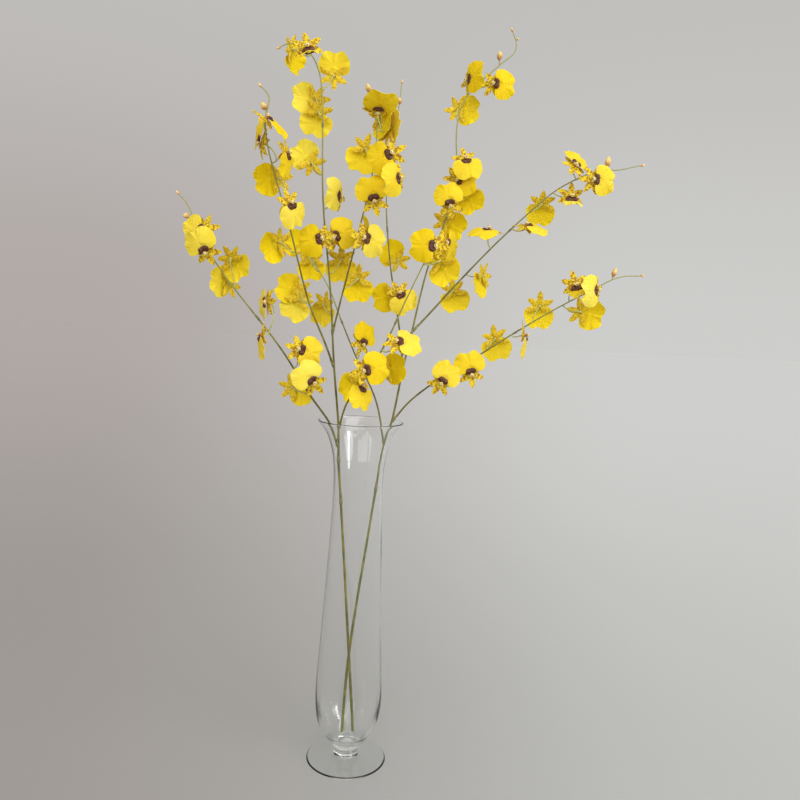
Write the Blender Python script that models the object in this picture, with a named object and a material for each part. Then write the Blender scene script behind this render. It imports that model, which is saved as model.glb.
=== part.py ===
"""Two cut sprays of oncidium orchid in a tall footed glass vase.

The origin is the middle of the vase's underside, +Z is up and -Y is the front.
Every length below is in millimetres and is scaled to metres where a mesh is made.
"""

import math

import bmesh
import bpy
from mathutils import Vector

MM = 0.001

for startup in list(bpy.data.objects):
    bpy.data.objects.remove(startup)


def painted(name, colour, roughness, alpha=1.0):
    material = bpy.data.materials.new(name)
    material.use_nodes = True
    shader = material.node_tree.nodes["Principled BSDF"]
    shader.inputs["Base Color"].default_value = (*colour, 1)
    shader.inputs["Roughness"].default_value = roughness
    shader.inputs["Alpha"].default_value = alpha
    return material


CLEAR_GLASS = painted("clear glass", (0.85, 0.87, 0.86), 0.05, 0.35)
GREEN_STEM = painted("green stem", (0.20, 0.22, 0.05), 0.5)
YELLOW_PETAL = painted("yellow petal", (0.90, 0.68, 0.05), 0.5)


def placed(name, mesh, material):
    """Gives a finished bmesh, in millimetres, a named object at the origin."""
    bmesh.ops.scale(mesh, vec=(MM, MM, MM), verts=mesh.verts)
    data = bpy.data.meshes.new(name)
    mesh.to_mesh(data)
    mesh.free()
    data.materials.append(material)
    thing = bpy.data.objects.new(name, data)
    bpy.context.collection.objects.link(thing)
    data.shade_smooth()
    data.set_sharp_from_angle(angle=math.radians(40))
    return thing


def fused(name, meshes, material):
    """Joins overlapping closed meshes into one body with a Boolean union."""
    first = placed(name, meshes[0], material)
    rest = bpy.data.collections.new(name + " pieces")
    for number, mesh in enumerate(meshes[1:]):
        piece = placed(f"{name} piece {number}", mesh, material)
        bpy.context.collection.objects.unlink(piece)
        rest.objects.link(piece)
    if not rest.objects:
        return first
    union = first.modifiers.new("union", "BOOLEAN")
    union.operation = "UNION"
    union.operand_type = "COLLECTION"
    union.collection = rest
    union.solver = "MANIFOLD"
    with bpy.context.temp_override(object=first, active_object=first, selected_objects=[first]):
        bpy.ops.object.modifier_apply(modifier=union.name)
    for piece in list(rest.objects):
        bpy.data.objects.remove(piece)
    bpy.data.collections.remove(rest)
    return first


# Routes and tubes

def smooth_route(points, step):
    """Points about a step apart along a curve through the given points."""
    knots = [Vector(point) for point in points]
    knots = [2 * knots[0] - knots[1], *knots, 2 * knots[-1] - knots[-2]]
    route = []
    for before, start, end, after in zip(knots, knots[1:], knots[2:], knots[3:]):
        lengths = [(b - a).length ** 0.5 for a, b in ((before, start), (start, end), (end, after))]
        chord = (end - start) / lengths[1]
        leave = (start - before) / lengths[0] - (end - before) / (lengths[0] + lengths[1]) + chord
        reach = chord - (after - start) / (lengths[1] + lengths[2]) + (after - end) / lengths[2]
        leave *= lengths[1]
        reach *= lengths[1]
        pieces = max(1, round((end - start).length / step))
        for piece in range(pieces):
            t = piece / pieces
            route.append(
                (2 * t**3 - 3 * t**2 + 1) * start
                + (t**3 - 2 * t**2 + t) * leave
                + (3 * t**2 - 2 * t**3) * end
                + (t**3 - t**2) * reach
            )
    route.append(knots[-2])
    return route


def along(route, distance):
    """The point that far along a route, and the route's direction there."""
    for start, end in zip(route, route[1:]):
        length = (end - start).length
        if distance <= length or end is route[-1]:
            return start.lerp(end, distance / length), (end - start).normalized()
        distance -= length


def tube(route, radii, sides):
    """A closed tube round a route, with one radius at each of its points."""
    mesh = bmesh.new()
    side = (route[1] - route[0]).orthogonal().normalized()
    rings = []
    for number, (centre, radius) in enumerate(zip(route, radii)):
        ahead = route[min(number + 1, len(route) - 1)] - route[max(number - 1, 0)]
        ahead.normalize()
        side = (side - side.project(ahead)).normalized()
        other = ahead.cross(side)
        ring = []
        for corner in range(sides):
            angle = math.tau * corner / sides
            ring.append(mesh.verts.new(centre + radius * (math.cos(angle) * side + math.sin(angle) * other)))
        rings.append(ring)
    for low, high in zip(rings, rings[1:]):
        for corner in range(sides):
            after = (corner + 1) % sides
            mesh.faces.new((low[corner], low[after], high[after], high[corner]))
    mesh.faces.new(list(reversed(rings[0])))
    mesh.faces.new(rings[-1])
    bmesh.ops.triangulate(mesh, faces=mesh.faces)
    return mesh


# Vase: one body of clear glass, with a thin foot disc, a low collar, a bowl and a flared lip

VASE_SIDES = 28
GLASS_WALL = 2.2
VASE_HEIGHT = 500
FOOT_RADIUS = 58
NECK_RADIUS = 35.5
LIP_RADIUS = 60.5
BOWL_FLOOR = 28.5  # height of the bowl's inner bottom

# Outer side of the bowl, as (radius, height) pairs from the collar to the lip
BOWL = (
    (23.5, 26), (33, 39), (40.5, 50), (46, 68), (48.5, 100), (45.5, 166), (41.5, 245),
    (NECK_RADIUS, 410), (37.5, 446), (41.5, 466), (48, 483), (LIP_RADIUS, VASE_HEIGHT),
)
FOOT = (
    (0, 0), (FOOT_RADIUS - 1, 0), (FOOT_RADIUS, 1.2), (FOOT_RADIUS - 1.5, 2.4),
    (30, 5), (18, 10), (17, 15), (18.5, 21),
)
LIP_ROUNDING = 1.2


def bowl_inside():
    """The bowl's outer side moved inwards by the wall, down to its rounded floor."""
    inside = [(LIP_RADIUS - LIP_ROUNDING, VASE_HEIGHT + LIP_ROUNDING), (LIP_RADIUS - 2 * LIP_ROUNDING, VASE_HEIGHT)]
    for radius, height in reversed(BOWL[3:-1]):
        inside.append((radius - GLASS_WALL, height))
    inside += [(38.5, 52), (31, 41.5), (20, BOWL_FLOOR + 3.5), (0, BOWL_FLOOR)]
    return inside


def vase():
    mesh = bmesh.new()
    profile = [*FOOT, *BOWL, *bowl_inside()]
    rings = []
    for radius, height in profile:
        corners = VASE_SIDES if radius else 1
        turns = [math.tau * corner / corners for corner in range(corners)]
        rings.append([mesh.verts.new((radius * math.cos(a), radius * math.sin(a), height)) for a in turns])
    for low, high in zip(rings, rings[1:]):
        for corner in range(VASE_SIDES):
            after = (corner + 1) % VASE_SIDES
            if len(low) == 1:
                mesh.faces.new((low[0], high[after], high[corner]))
            elif len(high) == 1:
                mesh.faces.new((low[corner], low[after], high[0]))
            else:
                mesh.faces.new((low[corner], low[after], high[after], high[corner]))
    placed("vase", mesh, CLEAR_GLASS)


vase()


# Spray stems: a main stem and four side branches, with buds at their tips, fused in one body

# Each branch: the distance along its main stem where it leaves, then (right, back, up) points that it
# arches through, its width at both ends, the distances of its swollen joints, and its buds, each as
# (distance, clock hour it points to as seen from the front, reach, width)
BRANCHES = {
    "left_main": {
        "route": (
            (9, 13, 33.1), (-2, -3, 158), (-25, -14, 410), (-28, -16, 444), (-31, -19, 495), (-40, -24, 575), (-50, -28, 685),
            (-64, -33, 800), (-70, -35, 925), (-76, -35, 965), (-91, -35, 989), (-115, -35, 997), (-127, -35, 992),
        ),
        "widths": (4.4, 1.6),
        "joints": (354, 414, 594, 731, 866),
        "buds": (),
    },
    "left_low": {
        "leaves": 434,
        "route": ((-42, -29, 498), (-70, -32, 536), (-114, -36, 601), (-184, -42, 686), (-221, -46, 739), (-238, -48, 780), (-250, -48, 794)),
        "widths": (3.0, 1.5),
        "joints": (210,),
        "buds": ((366, 9.5, 14, 7),),
    },
    "left_lean": {
        "leaves": 546,
        "route": ((-54, -36, 611), (-75, -46, 659), (-105, -65, 762), (-133, -84, 855), (-136, -90, 885), (-132, -94, 912), (-141, -95, 923)),
        "widths": (2.8, 1.5),
        "joints": (200,),
        "buds": ((341, 11, 14, 7.5),),
    },
    "left_inner": {
        "leaves": 594,
        "route": ((-34, -40, 670), (-12, -56, 769), (0, -66, 831), (3, -74, 889), (-2, -77, 907), (-8, -80, 926)),
        "widths": (2.6, 1.4),
        "joints": (190,),
        "buds": (),
        "tip_bud": 7,
    },
    "left_cross": {
        "leaves": 461,
        "route": ((-20, -42, 530), (-4, -56, 556), (26, -78, 611), (50, -96, 670), (72, -112, 722), (80, -118, 740)),
        "widths": (2.8, 1.5),
        "joints": (180,),
        "buds": (),
    },
    "right_main": {
        "route": (
            (-8, 13, 31.8), (-2, 5, 158), (27, 8, 410), (31, 9, 446), (38.5, 11, 483), (44, 13, 500), (57, 20, 578), (67, 31, 627),
            (86, 38, 722), (110, 44, 797), (121, 48, 847), (119, 54, 930), (128, 57, 965), (150, 60, 993),
            (179, 60, 1021), (197, 60, 1038), (198, 60, 1052), (192, 60, 1066),
        ),
        "widths": (4.4, 1.4),
        "joints": (371, 601, 710, 825),
        "buds": ((1022, 12, 19, 8), (1067, 2, 6, 3)),
    },
    "right_back": {
        "leaves": 437,
        "route": ((20, 42, 528), (-11, 66, 587), (-38, 84, 645), (-57, 96, 688), (-88, 110, 736)),
        "widths": (2.8, 1.6),
        "joints": (200,),
        "buds": (),
    },
    "right_rear": {
        "leaves": 551,
        "route": ((50, 44, 632), (33, 66, 725), (23, 86, 818), (24, 100, 891), (36, 112, 969), (38, 114, 1000)),
        "widths": (2.8, 1.4),
        "joints": (210, 300),
        "buds": ((402, 12, 15, 6.5),),
    },
    "right_high": {
        "leaves": 605,
        "route": ((95, 36, 661), (128, 32, 701), (175, 24, 755), (215, 16, 797), (258, 8, 837), (296, 2, 859), (318, 0, 867), (340, -2, 868), (372, -3, 876)),
        "widths": (2.8, 1.3),
        "joints": (200,),
        "buds": ((361, 0, 19, 8),),
    },
    "right_low": {
        "leaves": 471,
        "route": ((68, 20, 529), (102, 8, 560), (150, -6, 594), (200, -20, 631), (258, -36, 671), (306, -48, 700), (329, -55, 714), (346, -55, 719), (365, -55, 720)),
        "widths": (2.8, 1.3),
        "joints": (220,),
        "buds": ((367, 0.5, 17, 7),),
    },
}
ROUTE_STEP = 36
TIP_BUD = 3  # width of the small bud that ends a branch
JOINT_SWELL = 1.4  # how much wider a joint is than its stem


def clock(hour):
    """The direction of a clock hour as seen from the front."""
    return Vector((math.sin(math.tau * hour / 12), 0, math.cos(math.tau * hour / 12)))


def branch_route(name):
    branch = BRANCHES[name]
    points = [Vector(point) for point in branch["route"]]
    if "leaves" in branch:
        main = branch_route(name.split("_")[0] + "_main")
        points.insert(0, along(main, branch["leaves"])[0])
    return smooth_route(points, ROUTE_STEP)


def route_length(route):
    return sum((end - start).length for start, end in zip(route, route[1:]))


def stem_radius(name, route, distance):
    start, end = BRANCHES[name]["widths"]
    return (start + (end - start) * distance / route_length(route)) / 2


def stem(name, sides):
    """One stem from its root to its tip, with a short swollen sheath at each joint."""
    route = branch_route(name)
    distances = [route_length(route[: number + 1]) for number in range(len(route))]
    joints = BRANCHES[name]["joints"]
    rings = [(d, 1) for d in distances if all(abs(d - joint) > ROUTE_STEP / 3 for joint in joints)]
    for joint in joints:
        rings += [(joint - 2, 1), (joint, JOINT_SWELL), (joint + 8, 1)]
    rings.sort()
    points = [along(route, distance)[0] for distance, swell in rings]
    radii = [stem_radius(name, route, distance) * swell for distance, swell in rings]
    return tube(points, radii, sides)


def bud(base, tip, width):
    """A closed bud on a thin stalk."""
    route = [base.lerp(tip, place) for place in (0, 0.35, 0.6, 0.85, 1)]
    return tube(route, [width / 2 * girth for girth in (0.35, 0.4, 1, 0.75, 0.15)], 4)


def spray_stem(side):
    pieces = []
    for name in BRANCHES:
        if not name.startswith(side):
            continue
        route = branch_route(name)
        pieces.append(stem(name, 6 if name.endswith("main") else 4))
        end, ahead = route[-1], (route[-1] - route[-2]).normalized()
        width = BRANCHES[name].get("tip_bud", TIP_BUD)
        pieces.append(bud(end - 4 * ahead, end + (1 + 1.8 * width) * ahead, width))
        for distance, hour, reach, width in BRANCHES[name]["buds"]:
            base = along(route, distance)[0]
            pieces.append(bud(base, base + reach * clock(hour), width))
    fused(side + "_spray_stem", pieces, GREEN_STEM)


for side in ("left", "right"):
    spray_stem(side)


# Blooms: five narrow tepals and one broad lip, cut in a single thin curved blade, with the column
# in front and the stalk behind. Blooms whose stalks spring from one point are one body.

# Each foot: its distance along the branch, then one or two blooms, each as (clock hour and reach of
# its middle from the branch as seen from the front, how far it stands forward, the clock hour that
# its lip points to from there, degrees its face is turned to the right of the front, degrees it looks up)
BLOOMS = {
    "left_low": (
        (90, (0.75, 18, 21, 10.5, 15, 0), (9.5, 25, -11, 3.5, 165, 0)),
        (130, (0.5, 28, 11, 3.5, 15, 0)),
        (190, (7.5, 7, 24, 6, -75, 0), (12, 39, 11, 8.5, -62, 0)),
        (265, (9.75, 11, -26, 9.5, 230, 0), (11.75, 38, -11, 5, 160, 0)),
        (320, (5, 4, 27, 11, -10, -15), (12, 26, 22, 8.5, -15, 0)),
    ),
    "left_lean": (
        (95, (9.75, 16, -22, 7, 170, 0), (10.5, 24, -27, 9.5, 190, 0)),
        (165, (10, 26, -11, 7.5, 220, 0)),
        (225, (2.75, 10, 25, 5.5, 45, 0), (11.5, 38, -11, 8.5, 200, 0)),
        (280, (2, 22, 12, 6, 75, 0), (11, 31, -14, 11.5, -65, 0)),
        (315, (0.25, 13, 22, 4, 65, 48)),
    ),
    "left_main": (
        (620, (10.75, 18, -20, 6.5, 142, 0)),
        (675, (1.25, 26, -11, 6, 180, 0)),
        (705, (11.25, 14, 27, 8.5, -10, 0), (1, 18, 24, 2, 15, 0)),
        (760, (1.75, 25, 11, 9.5, 60, 0)),
        (805, (10.5, 23, -13, 10.5, 190, 0)),
        (880, (10.75, 10, -14, 6.5, 180, 15), (11.25, 31, -29, 9, 190, 0)),
        (915, (1.25, 26, -11, 0, 180, 0)),
        (960, (10.5, 2, 26, 5.5, 0, 0, 1), (9.75, 29, -17, 5, 240, 0)),
    ),
    "left_inner": (
        (65, (1.75, 23, -15, 6, 170, 0)),
        (120, (1.5, 16, 21, 3.5, 28, 0), (1.25, 22, -12, 11.5, 100, 0)),
        (185, (4, 11, 20, 11.5, 0, 0), (2, 44, 37, 8, 50, 0)),
        (230, (11, 24, -14, 6.5, 190, 0)),
        (230, (2.25, 24, 22, 8, -10, 0)),
        (270, (2.75, 15, -12, 1.5, 118, 0), (0.25, 25, -13, 5.5, 125, 0), (12, 20, 26, 1, 10, -64)),
    ),
    "left_cross": (
        (70, (0.25, 11, -26, 7.5, 215, 0)),
        (65, (1.25, 15, 29, 6, 50, 15)),
        (104, (10, 7, 38, 2.5, 10, 0)),
        (115, (3.75, 18, -8, 2.5, 150, 0)),
        (140, (2, 21, 21, 3, 10, 42)),
        (265, (2.5, 22, -17, 5, 160, 0), (1, 25, 12, 9, -5, 0)),
    ),
    "right_back": (
        (140, (0.5, 24, 13, 0.5, 42, 0)),
        (290, (10.75, 21, -13, 6, 180, 0), (10.75, 42, -11, 10, 190, 0)),
    ),
    "right_rear": (
        (95, (11.5, 17, -21, 8.5, 190, 0), (0.25, 20, 18, 5, 15, 0)),
        (150, (1, 20, -20, 10.5, 190, 0)),
    ),
    "right_main": (
        (730, (2, 14, 22, 3.5, 50, 0)),
        (755, (0.75, 20, -19, 4, 170, 0)),
        (780, (0.25, 12, 24, 11.5, 0, 0)),
        (810, (2.25, 23, -14, 5, 165, 0), (0.25, 21, 16, 3, 15, 0)),
        (850, (1.5, 14, 22, 5.5, 5, 20)),
        (920, (12, 20, -20, 3, 170, 0)),
        (970, (10, 12, 23, 2.5, -58, 0), (2.5, 27, 11, 3, 5, 0)),
    ),
    "right_high": (
        (70, (1.75, 18, -21, 5.5, 180, 0)),
        (115, (3, 26, -11, 6.5, 232, 0)),
        (165, (11.5, 24, 11, 8, -20, 65)),
        (205, (2.75, 18, 12, 3.5, 20, 65)),
        (240, (1.75, 23, -15, 6, 180, 20)),
        (280, (3.5, 23, 14, 6, 0, 0, 1)),
        (315, (11, 17, 20, 1, 30, 35), (3.25, 18, 23, 3, 10, 0)),
    ),
    "right_low": (
        (80, (2, 13, 34, 1, 5, 0)),
        (120, (3.25, 23, 16, 11.5, 0, 0)),
        (175, (1.25, 21, -18, 5.5, 180, 0)),
        (215, (3, 15, 12, 6, 75, 0)),
        (250, (0.75, 24, -11, 6, 180, 0)),
        (295, (3.5, 29, -11, 3.5, 165, 0)),
        (305, (0.25, 22, 14, 5.5, 0, 0, 1)),
        (325, (2, 12, 22, 8.5, 42, 0)),
    ),
}
BLADE = 0.8
HUB_RADIUS = 3
COLUMN_HEIGHT = 6
TEPAL_LENGTH = 20
TEPAL_WIDTH = 8.6
TEPAL_WAIST = 0.55  # share of its length at which a tepal is widest
LOBE_ANGLES = (28, 90, 152, 205, 270, 335)  # counterclockwise from the bloom's right; the lip is at 270
STALK_RADIUS = 0.95
FOOT_GAP = 0.35  # between a stalk's foot and the stem that carries it

# The right half of the lip, as (across, down, forward), from its waist round to the lobe by the notch
LIP_EDGE = ((3, 5, 1.8), (10, 2, 3.4), (18.5, 4, 3), (21.5, 13, 0.5), (17.5, 25, -2), (9, 32, -0.5))
LIP_MIDDLE = ((0, 9, 2.6), (0, 19, 4), (0, 29, 2))

# A young bloom's lip is still folded narrow and stands out forwards from this point
YOUNG_HINGE = Vector((0, -9, 1.4))
YOUNG_WIDTH = 0.6


def tepal(points, right, left, angle):
    """Adds one tepal's points to the blade and returns its triangles."""
    turn = math.radians(angle)
    out = Vector((math.cos(turn), math.sin(turn), 0))
    side = Vector((-out.y, out.x, 0))
    low, high, tip = range(len(points), len(points) + 3)
    points.append(TEPAL_WAIST * TEPAL_LENGTH * out - TEPAL_WIDTH / 2 * side - Vector((0, 0, 2.6)))
    points.append(TEPAL_WAIST * TEPAL_LENGTH * out + TEPAL_WIDTH / 2 * side - Vector((0, 0, 1.4)))
    points.append(TEPAL_LENGTH * out - Vector((0, 0, 3.5)))
    return [(right, low, high), (right, high, left), (low, tip, high)]


def folded(point):
    """Where a point of the full lip lies while the bloom is young."""
    rest = point - Vector((0, -5, 1.8))
    return YOUNG_HINGE + Vector((YOUNG_WIDTH * rest.x, 0.17 * rest.y + 0.98 * rest.z, 0.17 * rest.z - 0.98 * rest.y))


def kidney_lip(points, right, left, young):
    """Adds the lip's points to the blade and returns its triangles."""
    middle = len(points)
    points += [Vector((across, -down, forward)) for across, down, forward in LIP_MIDDLE]
    edges = []
    for mirror in (-1, 1):
        edges.append(range(len(points), len(points) + len(LIP_EDGE)))
        points += [Vector((mirror * across, -down, forward)) for across, down, forward in LIP_EDGE]
    if young:
        points[middle:] = [folded(point) for point in points[middle:]]
    high, centre, notch = middle, middle + 1, middle + 2
    faces = [(right, edges[0][0], edges[1][0]), (right, edges[1][0], left), (edges[0][0], high, edges[1][0])]
    for mirror, (waist, shoulder, crest, flank, skirt, lobe) in zip((-1, 1), edges):
        half = [(waist, shoulder, high), (shoulder, crest, high), (crest, centre, high)]
        half += [(crest, flank, centre), (flank, skirt, centre), (skirt, lobe, centre), (lobe, notch, centre)]
        faces += half if mirror == -1 else [face[::-1] for face in half]
    return faces


def bloom_blade(young):
    """One sheet of points and triangles, seen from the front with the lip down, and its hub's corners."""
    points = [Vector((0, 0, 0))]
    for lobe, after in zip(LOBE_ANGLES, (*LOBE_ANGLES[1:], LOBE_ANGLES[0] + 360)):
        between = math.radians((lobe + after) / 2)
        points.append(HUB_RADIUS * Vector((math.cos(between), math.sin(between), 0)))
    hub = list(range(1, len(points)))
    faces = []
    for number, angle in enumerate(LOBE_ANGLES):
        right, left = hub[number - 1], hub[number]
        faces.append((0, right, left))
        if angle == 270:
            faces += kidney_lip(points, right, left, young)
        else:
            faces += tepal(points, right, left, angle)
    return points, faces, hub


def bloom(middle, facing, down, root, leave, young):
    """A closed bloom: the blade given its thickness, a column in front and a stalk down to its root."""
    points, faces, hub = bloom_blade(young)
    across = (-down).cross(facing)

    def set_in_place(point, forward):
        return middle + point.x * across - point.y * down + (point.z + forward) * facing

    mesh = bmesh.new()
    front = [mesh.verts.new(set_in_place(point, BLADE / 2)) for point in points]
    back = [mesh.verts.new(set_in_place(point, -BLADE / 2)) for point in points]
    front[0].co += COLUMN_HEIGHT * facing
    rims = {(a, b) for face in faces for a, b in zip(face, (*face[1:], face[0]))}
    for face in faces:
        mesh.faces.new([front[corner] for corner in face])
        if 0 not in face:
            mesh.faces.new([back[corner] for corner in reversed(face)])
    for a, b in rims:
        if (b, a) not in rims:
            mesh.faces.new((front[b], front[a], back[a]))
            mesh.faces.new((front[b], back[a], back[b]))
    mesh.verts.remove(back[0])
    stalk(mesh, [back[corner] for corner in hub], middle, facing, across, root, leave)
    return mesh


def stalk(mesh, hub, middle, facing, across, root, leave):
    """Draws the back of a bloom's hub out into a three-sided stalk that ends at the root."""
    bend = 0.4 * (middle - root).length
    knots = (middle, middle - bend * facing, root + bend * leave, root)
    side = across
    ring = hub
    for t, radius in ((0.18, 1.6), (0.6, 1), (1, 1.1)):
        centre = sum((math.comb(3, k) * t**k * (1 - t) ** (3 - k) * knots[k] for k in range(4)), Vector())
        back = sum((math.comb(2, k) * t**k * (1 - t) ** (2 - k) * (knots[k + 1] - knots[k]) for k in range(3)), Vector())
        back.normalize()
        side = (side - side.project(back)).normalized()
        other = side.cross(back)
        after = []
        for corner in range(3):
            angle = math.tau * corner / 3 + math.radians(45)
            offset = math.cos(angle) * side + math.sin(angle) * other
            after.append(mesh.verts.new(centre + STALK_RADIUS * radius * offset))
        if ring is hub:
            for corner in range(3):
                low, middle_corner, high = hub[2 * corner], hub[2 * corner + 1], hub[2 * corner - 4]
                mesh.faces.new((low, after[corner], middle_corner))
                mesh.faces.new((middle_corner, after[corner], high))
                mesh.faces.new((high, after[corner], after[corner - 2]))
        else:
            for corner in range(3):
                mesh.faces.new((ring[corner], after[corner], after[corner - 2], ring[corner - 2]))
        ring = after
    mesh.faces.new(ring[::-1])
    bmesh.ops.triangulate(mesh, faces=mesh.faces)


def blooms_on(route, stem_width, foot, blooms):
    """The blooms whose stalks spring from one point of a branch."""
    start, ahead = along(route, foot)
    middles = [start + reach * clock(hour) - Vector((0, fore, 0)) for hour, reach, fore, *rest in blooms]
    leave = sum(middles, Vector()) / len(middles) - start
    leave = (leave - leave.project(ahead)).normalized()
    root = start + (stem_width + FOOT_GAP) * leave
    pieces = []
    for middle, (hour, reach, fore, lip, turn, nod, *young) in zip(middles, blooms):
        turn, nod = math.radians(turn), math.radians(nod)
        facing = Vector((math.sin(turn) * math.cos(nod), -math.cos(turn) * math.cos(nod), math.sin(nod)))
        down = clock(lip)
        down.y = -down.dot(facing) / facing.y
        down.normalize()
        pieces.append(bloom(middle, facing, down, root, leave, bool(young)))
    return pieces


for name, feet in BLOOMS.items():
    route = branch_route(name)
    for number, (foot, *blooms) in enumerate(feet, 1):
        radius = stem_radius(name, route, foot)
        fused(f"{name}_bloom_{number}", blooms_on(route, radius, foot, blooms), YELLOW_PETAL)
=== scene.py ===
import math
import random

import bpy
import numpy as np
from mathutils import Matrix, Vector


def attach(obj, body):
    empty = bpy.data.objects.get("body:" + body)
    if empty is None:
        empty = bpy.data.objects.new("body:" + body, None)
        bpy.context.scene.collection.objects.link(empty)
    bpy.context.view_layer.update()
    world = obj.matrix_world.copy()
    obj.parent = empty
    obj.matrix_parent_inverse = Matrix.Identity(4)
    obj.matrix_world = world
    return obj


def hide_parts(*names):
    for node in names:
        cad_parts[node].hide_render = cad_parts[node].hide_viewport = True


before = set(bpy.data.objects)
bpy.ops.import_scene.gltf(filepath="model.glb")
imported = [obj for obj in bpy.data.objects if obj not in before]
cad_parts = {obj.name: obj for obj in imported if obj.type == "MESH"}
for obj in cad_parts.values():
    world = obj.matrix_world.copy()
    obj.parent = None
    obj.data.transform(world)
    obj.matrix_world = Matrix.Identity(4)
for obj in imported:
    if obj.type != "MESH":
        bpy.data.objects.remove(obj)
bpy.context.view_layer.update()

# The studio: a pale painted floor, with painted light and shade in its colour, that runs into a world of
# its own colours, under even light from above, the right and the front. Two window lamps only shine in
# the glass. The camera stands a little above the vase's lip, looks slightly down and leans a little.


class Wire:
    """A node's output that takes part in sums: each operator adds a Math node to its tree."""

    def __init__(self, finish, socket):
        self.finish, self.socket = finish, socket

    def math(self, operation, *others):
        inputs = dict(enumerate((self, *others)))
        return self.finish.node("ShaderNodeMath", {"operation": operation}, inputs)

    def swapped(self, operation, other):
        """A Math node that takes the other number first."""
        return self.finish.node("ShaderNodeMath", {"operation": operation}, {0: other, 1: self})

    def __add__(self, other):
        return self.math("ADD", other)

    def __sub__(self, other):
        return self.math("SUBTRACT", other)

    def __mul__(self, other):
        return self.math("MULTIPLY", other)

    def __rsub__(self, other):
        return self.swapped("SUBTRACT", other)

    __radd__, __rmul__ = __add__, __mul__

    def between(self, low, high):
        """0 at low and 1 at high, whichever is the larger, with a soft passage."""
        if low > high:
            return 1 - self.between(high, low)
        settings = {"interpolation_type": "SMOOTHSTEP"}
        return self.finish.node("ShaderNodeMapRange", settings, {0: self, 1: low, 2: high})


class Finish:
    """A material, or the world, as a node tree that is built by expressions."""

    def __init__(self, name, owner=None):
        self.owner = owner or bpy.data.materials.new(name)
        self.owner.use_nodes = True
        self.tree = self.owner.node_tree
        self.tree.nodes.clear()

    def node(self, kind, settings=None, inputs=None, output=0):
        """Adds a node and gives back one of its outputs. An input is a wire or a plain value."""
        made = self.tree.nodes.new(kind)
        for key, value in (settings or {}).items():
            setattr(made, key, value)
        for key, value in (inputs or {}).items():
            socket = made.inputs[key]
            if isinstance(value, Wire):
                self.tree.links.new(value.socket, socket)
            elif socket.type == "RGBA" and len(value) == 3:
                socket.default_value = (*value, 1)
            else:
                socket.default_value = value
        return Wire(self, made.outputs[output]) if len(made.outputs) else None

    def mixed(self, mask, first, second):
        """The first colour where the mask is 0 and the second where it is 1."""
        return self.node("ShaderNodeMix", {"data_type": "RGBA"}, {0: mask, 6: first, 7: second}, 2)

    def split(self, vector, axes):
        """The parts of a vector along these axes."""
        return [self.node("ShaderNodeSeparateXYZ", inputs={0: vector}, output=axis) for axis in axes]

    def mapped(self, name, axes="XYZ"):
        """The numbers that a mesh keeps at each of its points under this name."""
        vector = self.node("ShaderNodeAttribute", {"attribute_name": name}, output="Vector")
        return self.split(vector, axes)

    def spot(self):
        """The place on the thing itself, in metres."""
        return self.node("ShaderNodeTexCoord", output="Object")

    def noise(self, place, scale, detail=2.0):
        """A cloudy pattern at a place, with values about 0.5."""
        return self.node("ShaderNodeTexNoise", inputs={"Vector": place, "Scale": scale, "Detail": detail})

    def speckle(self, across, along, depth, scale=1.0, detail=2.0):
        """Noise at a place that is given by three wires or numbers."""
        place = self.node("ShaderNodeCombineXYZ", inputs={0: across, 1: along, 2: depth})
        return self.noise(place, scale, detail)

    def bumps(self, height, strength, distance):
        """A normal that is roughened by this height."""
        inputs = {"Strength": strength, "Distance": distance, "Height": height}
        return self.node("ShaderNodeBump", inputs=inputs)

    def solid(self, colour, inputs):
        """Ends the tree in one Principled shader and gives back the material."""
        shader = self.node("ShaderNodeBsdfPrincipled", inputs={"Base Color": colour, **inputs})
        self.node("ShaderNodeOutputMaterial", inputs={"Surface": shader})
        return self.owner


scene = bpy.context.scene
scene.view_settings.view_transform = "Standard"

CAMERA_PLACE = (0, -1.1001, 0.6379)
CAMERA_YAW, CAMERA_PITCH, CAMERA_ROLL = 2.80, 5.43, 2.88
CAMERA_LENS, CAMERA_SENSOR = 35.16, 36
camera_data = bpy.data.cameras.new("camera")
camera_data.lens = CAMERA_LENS
camera_data.sensor_width = CAMERA_SENSOR
camera = bpy.data.objects.new("camera", camera_data)
scene.collection.objects.link(camera)
camera.location = CAMERA_PLACE
heading = Matrix.Rotation(math.radians(-CAMERA_YAW), 3, "Z")
heading @= Matrix.Rotation(math.radians(90 - CAMERA_PITCH), 3, "X")
heading @= Matrix.Rotation(math.radians(CAMERA_ROLL), 3, "Z")
camera.rotation_euler = heading.to_euler()
scene.camera = camera

# The world's light is dim and warm on the left and bright on the right. The floor's colour copies
# this as painted light and shade, and painted shade also darkens it towards the vase.
DIM_TO_BRIGHT = (-0.35, 0.35)
DIM_AFAR, BRIGHT_AFAR, HIGH_UP = (0.437, 0.398, 0.383), (0.615, 0.615, 0.60), (0.53, 0.52, 0.505)
world = Finish("studio", bpy.data.worlds.new("studio"))
side, height = world.split(world.node("ShaderNodeTexCoord", output="Generated"), "XZ")
backdrop = world.mixed(side.between(*DIM_TO_BRIGHT), DIM_AFAR, BRIGHT_AFAR)
backdrop = world.mixed(height.between(-0.02, 0.42), backdrop, HIGH_UP)
world.node("ShaderNodeOutputWorld", inputs={0: world.node("ShaderNodeBackground", inputs={0: backdrop})})
scene.world = world.owner


def lamp(name, kind, energy, place, aim, only_shines=False, **settings):
    """A light. One that only shines shows as a highlight in the glass and lights nothing else."""
    data = bpy.data.lights.new(name, kind)
    data.energy = energy
    for key, value in settings.items():
        setattr(data, key, value)
    light = bpy.data.objects.new(name, data)
    scene.collection.objects.link(light)
    light.visible_camera = False
    light.visible_diffuse = not only_shines
    light.location = place
    light.rotation_euler = (Vector(aim) - Vector(place)).to_track_quat("-Z", "Y").to_euler()


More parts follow.
